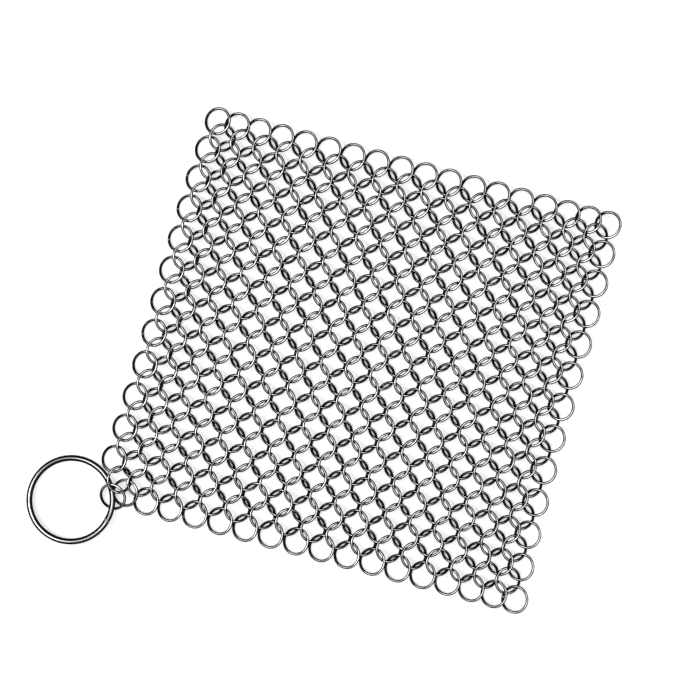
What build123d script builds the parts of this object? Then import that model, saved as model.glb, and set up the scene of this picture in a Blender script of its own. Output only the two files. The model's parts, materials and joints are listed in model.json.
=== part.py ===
from build123d import *
import os
from math import cos, radians, sin, sqrt

# A chainmail pot scrubber, spread flat on a table. Small wire rings stand in straight columns, and each
# ring passes through two rings of the column on its left and two of the column on its right. A larger
# ring, to hang it by, goes through the ring at the near left corner.
# X runs across the columns, Y along them and Z up. The origin is on the table, under the middle of the
# whole outline, with the hanging ring.

# Driving dimensions, in millimetres and degrees
ring_diameter = 9.1
wire_thickness = 1.0
row_gap = 1.43
ring_lean_angle = 23.0
hanging_diameter = 29.4
hanging_wire = 2.1
hanging_lean_angle = 4.4
hanging_high_side_angle = -61.3
hanging_direction_angle = 199.2

# The weave: counted from 0, odd columns are one ring shorter and sit half a ring lower
column_count = 35
long_column_rings = 13
wire_sides = 8

# Two leaning rings can part by this share of the spread that two flat ones have
reach_share = 0.9013

# How the sheet strays from an even grid, as shares of the pitch along the same axis
edge_crowding_share = 0.805
corner_flare_share = 0.447
waist_share = 0.134
slant_share = 0.2
end_crowding_share = 0.104
sag_share = 0.156

# Rings that the hanging ring pulls out of line: (column, place) to their shift from the grid, as shares
# of the ring's radius, then their lean and the direction of their high side
corner_place = (0, long_column_rings - 1)
pulled_share = {
    (1, long_column_rings - 2): (0.125, -0.163),
    (2, long_column_rings - 1): (0.090, 0.229),
    corner_place: (0.906, -0.298),
}
pulled_lean_angles = {
    (1, long_column_rings - 2): (31.8, 189.8),
    (2, long_column_rings - 1): (20.2, 27.0),
    corner_place: (27.5, 62.0),
}
# The corner ring's middle lies this share of its radius outside the hanging ring's wire
link_overhang_share = 0.03

# Sizes that follow
ring_radius = ring_diameter / 2
hanging_radius = hanging_diameter / 2
row_pitch = ring_diameter + wire_thickness + row_gap
link_reach = (ring_diameter - wire_thickness) * reach_share
column_pitch = sqrt(link_reach**2 - (row_pitch / 2) ** 2)
middle_column = (column_count - 1) / 2
middle_row = (long_column_rings - 1) / 2


def rings_in(column):
    """How many rings a column holds."""
    return long_column_rings - column % 2


def grid_place(column, place):
    """Where the middle of a ring lies on the table."""
    across = column / middle_column - 1
    down = (place + (column % 2) / 2) / middle_row - 1
    x = column_pitch * (
        middle_column * across
        - edge_crowding_share * across**5
        + corner_flare_share * across * down**3
        + waist_share * across * down**2
        - slant_share * down
    )
    y = -row_pitch * (middle_row * down + sag_share * down**2 - end_crowding_share * down**3)
    return x, y


def resting_ring(x, y, radius, wire, lean, high_side):
    """A closed wire ring that leans with its low side on the table, its high side towards a direction.

    The wire is a many-sided section, one corner down where it rests, turned round the ring's axis.
    """
    tilt = radians(lean)
    turn = radians(high_side)
    normal = (-sin(tilt) * cos(turn), -sin(tilt) * sin(turn), cos(tilt))
    plane = Plane(origin=(x, y, radius * sin(tilt) + wire / 2), z_dir=normal)
    section = Plane.XZ * Pos(radius, 0) * RegularPolygon(wire / 2, wire_sides, rotation=lean)
    return plane * revolve(section, Axis.Z)


def small_ring(column, place):
    """One ring of the weave, leaning right in even columns and left in odd ones, or pulled askew."""
    x, y = grid_place(column, place)
    shift = pulled_share.get((column, place), (0, 0))
    lean, high_side = pulled_lean_angles.get((column, place), (ring_lean_angle, 180 * (column % 2)))
    x += shift[0] * ring_radius
    y += shift[1] * ring_radius
    return resting_ring(x, y, ring_radius, wire_thickness, lean, high_side)


def hanging_ring():
    """The large ring that goes through the corner ring and lies outside the sheet."""
    x, y = grid_place(*corner_place)
    shift = pulled_share[corner_place]
    direction = radians(hanging_direction_angle)
    reach = hanging_radius + link_overhang_share * ring_radius
    x += shift[0] * ring_radius + reach * cos(direction)
    y += shift[1] * ring_radius + reach * sin(direction)
    return resting_ring(x, y, hanging_radius, hanging_wire, hanging_lean_angle, hanging_high_side_angle)


def all_pieces():
    """Every node's name with its solids, around the middle of the sheet."""
    pieces = {}
    for column in range(column_count):
        places = [place for place in range(rings_in(column)) if (column, place) != corner_place]
        pieces[f"ring_column_{column + 1:02d}"] = [small_ring(column, place) for place in places]
    pieces["corner_link_ring"] = [small_ring(*corner_place)]
    pieces["hanging_ring"] = [hanging_ring()]
    return pieces


pieces = all_pieces()
outline = Compound([solid for solids in pieces.values() for solid in solids]).bounding_box()
to_origin = Pos(-outline.center().X, -outline.center().Y, -outline.min.Z)

os.makedirs("parts", exist_ok=True)
for name, solids in pieces.items():
    export_step(to_origin * Compound(solids), f"parts/{name}.step")
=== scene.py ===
import json
from math import atan2, cos, exp, pi, radians, sin, sqrt, tan

import bmesh
import bpy
import numpy as np
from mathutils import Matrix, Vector


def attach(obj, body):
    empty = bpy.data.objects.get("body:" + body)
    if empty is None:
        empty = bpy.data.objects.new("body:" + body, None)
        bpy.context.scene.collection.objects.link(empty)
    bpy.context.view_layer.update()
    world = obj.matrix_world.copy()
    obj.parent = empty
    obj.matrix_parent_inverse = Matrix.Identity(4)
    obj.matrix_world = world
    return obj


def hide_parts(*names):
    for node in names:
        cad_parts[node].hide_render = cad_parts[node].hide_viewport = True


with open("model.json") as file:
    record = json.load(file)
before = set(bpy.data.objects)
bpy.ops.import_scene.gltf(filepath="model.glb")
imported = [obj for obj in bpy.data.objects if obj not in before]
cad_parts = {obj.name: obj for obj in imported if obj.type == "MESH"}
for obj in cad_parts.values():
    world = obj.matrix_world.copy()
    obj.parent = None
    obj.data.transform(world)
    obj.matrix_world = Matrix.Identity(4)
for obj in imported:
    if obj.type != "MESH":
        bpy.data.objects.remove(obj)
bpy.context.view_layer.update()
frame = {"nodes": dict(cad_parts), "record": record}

# Lengths are in metres, and angles in degrees
MM = 0.001

# The wire: how finely it is divided, and the bead at each ring's weld
wire_turns = 56
wire_sides = 14
hanging_turns = 144
hanging_sides = 28
weld_swell_share = 0.07
weld_spread = 7.0
welds_seed = 5
merge_distance = 0.002 * MM
sheet_height = 4.56 * MM

# Steel. The painted shade is near black painted on the wire's upper flanks in place of dark reflections and
# shade. Its foot is the cosine of the angle from the wire's top over which the painted shade ends. The noise
# span holds nearly all the values of a noise texture.
uv_name = "along the wire"
edge_tint = 0.02
wire_roughness = 0.12
roughness_shares = (0.7, 1.5)
painted_shade_fray = 0.15
painted_shade_foot = (0.0, 0.5)
noise_span = (0.3, 0.7)
line_noise_scale = 2.0
line_noise_detail = 3.0
line_strength = 0.5
cloud_scale = 260.0
cloud_detail = 4.0
weld_tint = (0.16, 0.145, 0.13)
weld_burn = 0.7
weld_core_share = 0.4

# Floor and light. A lamp has a name, its angle from the top, its bearing in the picture, its half width as seen
# from the sheet, and its brightness.
floor_size = 1.2
floor_drop = 0.02 * MM
paper_shade = 0.9
paper_glow = 0.45
world_strength = 0.1
white_strength = 1.0
lamp_distance = 1500 * MM
lamps = (
    ("near left lamp", 24, 190, 12, 7.0),
    ("back lamp", 25, 50, 10, 3.5),
    ("far left lamp", 46, 165, 14, 5.0),
    ("far right lamp", 46, 345, 14, 4.0),
)

# Camera
photo_turn = 14.9
photo_centre = Vector((6.9 * MM, 10.5 * MM, 0))
photo_width = 247.3 * MM
camera_height = 900 * MM
camera_reach = 20.0
sensor_width = 36.0


# Reading the rings of a node from the frame

def islands(node):
    """The corner points of each separate ring of a node."""
    mesh = bmesh.new()
    mesh.from_mesh(frame["nodes"][node].data)
    bmesh.ops.remove_doubles(mesh, verts=mesh.verts, dist=merge_distance)
    left = set(mesh.verts)
    found = []
    while left:
        start = left.pop()
        group = [start]
        open_ends = [start]
        while open_ends:
            vertex = open_ends.pop()
            for edge in vertex.link_edges:
                other = edge.other_vert(vertex)
                if other in left:
                    left.remove(other)
                    group.append(other)
                    open_ends.append(other)
        found.append(np.array([vertex.co[:] for vertex in group]))
    mesh.free()
    return sorted(found, key=lambda points: tuple(np.round(points.mean(0), 5)))


def ring_facts(points):
    """Centre, axis, radius to the middle of the wire, and wire thickness of one ring of many-sided wire.

    The corners of the wire's section lie on the circle that fits them best.
    """
    centre = points.mean(0)
    axis = np.linalg.svd(points - centre)[2][2]
    axis = axis if axis[2] > 0 else -axis
    height = (points - centre) @ axis
    flat = np.linalg.norm(points - centre - np.outer(height, axis), axis=1)
    terms = np.column_stack([2 * flat, 2 * height, np.ones(len(flat))])
    radius, lift, rest = np.linalg.lstsq(terms, flat**2 + height**2, rcond=None)[0]
    return centre + lift * axis, axis, radius, 2 * sqrt(rest + radius**2 + lift**2)


# Making rings of round wire

def ring_rows(facts, turns, sides, weld):
    """The rows of points of a ring, with a bead inside at its weld.

    Each row comes with its uppermost side, which may lie between two points.
    """
    centre, axis, radius, wire = facts
    across = np.cross(axis, (0, 1, 0))
    across /= np.linalg.norm(across)
    along = np.cross(axis, across)
    rows = []
    for step in range(turns):
        angle = 2 * pi * step / turns
        off = (angle - weld + pi) % (2 * pi) - pi
        bead = weld_swell_share * exp(-((off / radians(weld_spread)) ** 2))
        outward = across * cos(angle) + along * sin(angle)
        points = []
        for side in range(sides):
            turn = 2 * pi * side / sides
            reach = wire / 2 * (1 + bead * max(0, -cos(turn)))
            points.append(centre + outward * (radius + reach * cos(turn)) + axis * reach * sin(turn))
        rows.append((points, sides * atan2(axis[2], outward[2]) / (2 * pi)))
    return rows


def add_ring(mesh, uv, facts, turns, sides, weld):
    """Adds one ring of round wire.

    Its texture coordinates are the share of its length past the weld and of its girth past the top.
    """
    rows = ring_rows(facts, turns, sides, weld)
    vertices = [[mesh.verts.new(point) for point in points] for points, _ in rows]
    start = weld / (2 * pi) * turns
    for step in range(turns):
        for first_side in range(sides):
            places = [
                ((step + ahead) % turns, ahead, first_side + beside)
                for ahead, beside in ((0, 0), (1, 0), (1, 1), (0, 1))
            ]
            face = mesh.faces.new([vertices[row][side % sides] for row, _, side in places])
            face.smooth = True
            for loop, (row, ahead, side) in zip(face.loops, places):
                past = (step - start) % turns + ahead
                loop[uv].uv = (past / turns, (side - rows[row][1]) / sides)


def wire_piece(name, node, turns, sides, material, random):
    """A piece of round-wire rings that stands for a node of the frame."""
    mesh = bmesh.new()
    uv = mesh.loops.layers.uv.new(uv_name)
    for points in islands(node):
        add_ring(mesh, uv, ring_facts(points), turns, sides, random.uniform(0, 2 * pi))
    bmesh.ops.recalc_face_normals(mesh, faces=mesh.faces)
    data = bpy.data.meshes.new(name)
    mesh.to_mesh(data)
    mesh.free()
    data.materials.append(material)
    piece = bpy.data.objects.new(name, data)
    bpy.context.collection.objects.link(piece)
    return piece


# Materials

class Graph:
    """The nodes of a material or of the world."""

    def __init__(self, tree):
        self.nodes = tree.nodes
        self.link = tree.links.new

    def node(self, kind, inputs=(), **settings):
        """A node with these settings. Each input is a value, or a socket to link to."""
        made = self.nodes.new(f"ShaderNode{kind}")
        for name, value in settings.items():
            setattr(made, name, value)
        for place, value in dict(inputs).items():
            if isinstance(value, bpy.types.NodeSocket):
                self.link(value, made.inputs[place])
            else:
                made.inputs[place].default_value = value
        return made

    def math(self, operation, *inputs):
        """The result of a calculation."""
        return self.node("Math", enumerate(inputs), operation=operation).outputs[0]

    def fit(self, value, source, target, **settings):
        """A value, mapped from one span to another and held inside it."""
        ends = ("From Min", "From Max", "To Min", "To Max")
        inputs = {"Value": value, **dict(zip(ends, (*source, *target)))}
        return self.node("MapRange", inputs, **settings).outputs[0]

    def mix(self, factor, first, second, **settings):
        """A mix of two colours."""
        return self.node("Mix", {"Factor": factor, 6: first, 7: second}, data_type="RGBA", **settings).outputs[2]


def new_material(name):
    """An empty node material and its graph."""
    material = bpy.data.materials.new(name)
    material.use_nodes = True
    material.node_tree.nodes.clear()
    return material, Graph(material.node_tree)


def painted_shade_cover(graph, turn, spot, painted_shade_ends, low_shade_widening):
    """How far the painted shade covers the wire: near black painted on its upper flanks in place of dark
    reflections, reaching further where the wire lies low in the sheet.
    """
    clouds = graph.node("TexNoise", {"Vector": spot, "Scale": cloud_scale, "Detail": cloud_detail}).outputs[0]
    flank = graph.math("ABSOLUTE", graph.math("SINE", turn))
    upward = graph.math("COSINE", turn)
    height = graph.node("SeparateXYZ", {"Vector": spot}).outputs["Z"]
    # Painted shade: the dark flank colour reaches further where the wire lies low in the sheet, under the rings
    # above, and less where it lies high.
    depth = graph.fit(height, (0.0, sheet_height), (low_shade_widening, -low_shade_widening))
    painted_shade_reach = graph.math("MULTIPLY_ADD", depth, graph.math("SIGN", upward), flank)
    frayed = graph.math("MULTIPLY_ADD", clouds, painted_shade_fray, painted_shade_reach)
    flank_shade = graph.fit(frayed, painted_shade_ends, (0.0, 1.0), interpolation_type="SMOOTHSTEP")
    above = graph.fit(upward, painted_shade_foot, (0.0, 1.0), interpolation_type="SMOOTHSTEP")
    return graph.math("MULTIPLY", flank_shade, above)


def steel(name, bare_steel_colour, painted_shade, painted_shade_ends, low_shade_widening, line_scales, line_tones, line_depth, weld_width):
    """Drawn steel wire, bare steel colour above and below, with painted shade on its upper flanks: a near-black
    colour in place of the dark reflections and shade there.

    Lines run along the wire, faint clouding frays the painted shade's edge, and each ring has a burnt tick at
    its weld.
    """
    material, graph = new_material(name)
    along = graph.node("UVMap", uv_map=uv_name).outputs[0]
    spot = graph.node("TexCoord").outputs["Object"]
    stretched = graph.node("Mapping", {"Vector": along, "Scale": (*line_scales, 1.0)}).outputs[0]
    line_noise = {"Vector": stretched, "Scale": line_noise_scale, "Detail": line_noise_detail}
    lines = graph.node("TexNoise", line_noise).outputs[0]
    share = graph.node("SeparateXYZ", {"Vector": along}).outputs
    turn = graph.math("MULTIPLY", share["Y"], 2 * pi)

    # Painted shade: the upper flanks turn near black in place of dark reflections, and the bare steel colour
    # stays above and below.
    shade_cover = painted_shade_cover(graph, turn, spot, painted_shade_ends, low_shade_widening)
    shaded_colour = graph.mix(shade_cover, (*bare_steel_colour, 1.0), (*painted_shade, 1.0))
    lined = graph.mix(1.0, shaded_colour, graph.fit(lines, noise_span, line_tones), blend_type="MULTIPLY")
    from_weld = graph.math("PINGPONG", share["X"], 0.5)
    tick = graph.fit(from_weld, (weld_width * weld_core_share, weld_width), (weld_burn, 0.0))
    shader = graph.node("BsdfPrincipled", {
        "Metallic": 1.0,
        "Specular Tint": (edge_tint, edge_tint, edge_tint, 1.0),
        "Base Color": graph.mix(tick, lined, (*weld_tint, 1.0)),
        "Roughness": graph.fit(lines, noise_span, [wire_roughness * part for part in roughness_shares]),
        "Normal": graph.node(
            "Bump", {"Strength": line_strength, "Distance": line_depth, "Height": lines}
        ).outputs[0],
    })
    graph.node("OutputMaterial", {"Surface": shader.outputs[0]})
    return material


def background_rays(graph):
    """1 for the rays that show the background, straight or in metal and glass, and 0 for the others."""
    path = graph.node("LightPath").outputs
    glossy = graph.math("MAXIMUM", path["Is Camera Ray"], path["Is Glossy Ray"])
    return graph.math("MAXIMUM", glossy, path["Is Transmission Ray"])


def paper(name):
    """White paper, lit mostly by the lamps, so that it keeps the shadow of the rings."""
    material, graph = new_material(name)
    strength = graph.math("MULTIPLY", background_rays(graph), paper_glow)
    diffuse = graph.node("BsdfDiffuse", {"Color": (paper_shade, paper_shade, paper_shade, 1.0)})
    glow = graph.node("Emission", {"Color": (1.0, 1.0, 1.0, 1.0), "Strength": strength})
    both = graph.node("AddShader", {0: diffuse.outputs[0], 1: glow.outputs[0]})
    graph.node("OutputMaterial", {"Surface": both.outputs[0]})
    return material


ring_steel = steel(
    "ring steel",
    bare_steel_colour=(0.55, 0.55, 0.553),
    # The flank colour below is painted shade, near black in place of dark reflections and shade.
    painted_shade=(0.004, 0.004, 0.004),
    painted_shade_ends=(0.03, 0.23),
    # How much wider the painted shade is where the wire lies low in the sheet.
    low_shade_widening=0.2,
    line_scales=(3.0, 6.0),
    line_tones=(0.5, 1.2),
    line_depth=0.03 * MM,
    weld_width=0.012,
)
hanging_steel = steel(
    "hanging ring steel",
    bare_steel_colour=(0.43, 0.43, 0.433),
    # The flank colour below is painted shade, near black in place of dark reflections and shade.
    painted_shade=(0.006, 0.006, 0.006),
    painted_shade_ends=(0.2, 0.4),
    # How much wider the painted shade is where the wire lies low in the sheet.
    low_shade_widening=0.0,
    line_scales=(0.7, 2.5),
    line_tones=(0.0, 1.8),
    line_depth=0.04 * MM,
    weld_width=0.006,
)


# The rings

random = np.random.default_rng(welds_seed)
node_of_body = {body: nodes[0] for body, nodes in frame["record"]["behaviour"]["bodies"].items()}
for body, node in node_of_body.items():
    if node == "hanging_ring":
        piece = wire_piece("hanging_wire_ring", node, hanging_turns, hanging_sides, hanging_steel, random)
    else:
        piece = wire_piece(f"{node}_wire", node, wire_turns, wire_sides, ring_steel, random)
    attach(piece, body)
    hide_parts(node)


# Floor, light and camera

def stage_floor():
    """A white floor just under the rings."""
    data = bpy.data.meshes.new("floor")
    half = floor_size / 2
    corners = [(-half, -half), (half, -half), (half, half), (-half, half)]
    data.from_pydata([(x, y, -floor_drop) for x, y in corners], [], [(0, 1, 2, 3)])
    data.materials.append(paper("white paper"))
    floor = bpy.data.objects.new("floor", data)
    bpy.context.collection.objects.link(floor)


def soft_box(name, from_top, bearing, half_width, brightness):
    """A round soft lamp, seen from the sheet at these angles. The metal shows it at this brightness."""
    lamp = bpy.data.lights.new(name, "AREA")
    lamp.shape = "DISK"
    lamp.size = 2 * lamp_distance * tan(radians(half_width))
    lamp.energy = brightness * pi * pi * (lamp.size / 2) ** 2
    holder = bpy.data.objects.new(name, lamp)
    around = radians(bearing + photo_turn)
    reach = lamp_distance * sin(radians(from_top))
    holder.location = (reach * cos(around), reach * sin(around), lamp_distance * cos(radians(from_top)))
    holder.rotation_euler = (-holder.location).to_track_quat("-Z", "Y").to_euler()
    bpy.context.collection.objects.link(holder)


def world_light():
    """Even light from all round, and white where the camera or the metal looks past the floor."""
    world = bpy.data.worlds.new("studio")
    world.use_nodes = True
    bpy.context.scene.world = world
    graph = Graph(world.node_tree)
    background = graph.nodes["Background"].inputs
    strength = graph.fit(background_rays(graph), (0.0, 1.0), (world_strength, white_strength))
    graph.link(strength, background["Strength"])
    background["Color"].default_value = (1.0, 1.0, 1.0, 1.0)


def photo_camera():
    """A long lens straight above the sheet, turned as in the photograph."""
    data = bpy.data.cameras.new("camera")
    data.sensor_width = sensor_width
    data.lens = camera_height * sensor_width / photo_width
    data.clip_end = camera_reach
    camera = bpy.data.objects.new("camera", data)
    camera.location = photo_centre + Vector((0, 0, camera_height))
    camera.rotation_euler = (0, 0, radians(photo_turn))
    bpy.context.collection.objects.link(camera)
    bpy.context.scene.camera = camera


stage_floor()
for lamp in lamps:
    soft_box(*lamp)
world_light()
photo_camera()
bpy.context.scene.view_settings.view_transform = "Standard"
